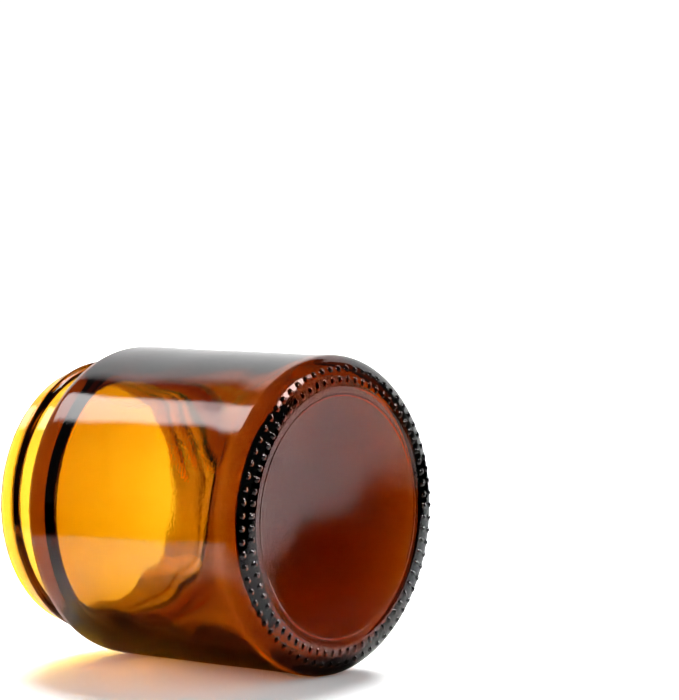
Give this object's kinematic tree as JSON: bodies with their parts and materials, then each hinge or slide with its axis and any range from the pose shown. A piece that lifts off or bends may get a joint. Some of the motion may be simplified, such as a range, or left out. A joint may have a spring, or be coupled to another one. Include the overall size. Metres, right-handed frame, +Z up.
{
  "type": "cosmetic cream jar",
  "caption": "Amber glass straight-sided cream jar lying open on its side, with its ribbed screw cap and soft liner off in front of the mouth.",
  "frame": {"origin": "on the surface that the jar and its cap lie on, under the middle of the two together", "axes": "+X along the jar's axis, out of its base; the mouth faces -X; +Z up; the jar lies on its side"},
  "size_m": [0.1388, 0.0636, 0.0635],
  "materials": {
    "amber_glass": "polished amber glass",
    "cap_plastic": "satin black moulded plastic",
    "liner_foam": "white closed-cell foam"
  },
  "bodies": {
    "jar": {"glass_jar": "amber_glass"},
    "seal": {"cap_liner": "liner_foam"},
    "cap": {"screw_cap": "cap_plastic"}
  },
  "joints": [
    {"name": "cap_travel", "type": "slide", "parent": "jar", "child": "seal", "axis": [1, 0, 0], "range_m": [0, 0.06773]},
    {"name": "cap_turn", "type": "hinge", "parent": "seal", "child": "cap", "pos_m": [-0.05562, 0, 0.03175], "axis": [1, 0, 0], "range_deg": [0, 5760]}
  ],
  "couplings": [
    {"joint": "cap_travel", "follows": "cap_turn", "m_per_rad": 0.00067375}
  ]
}
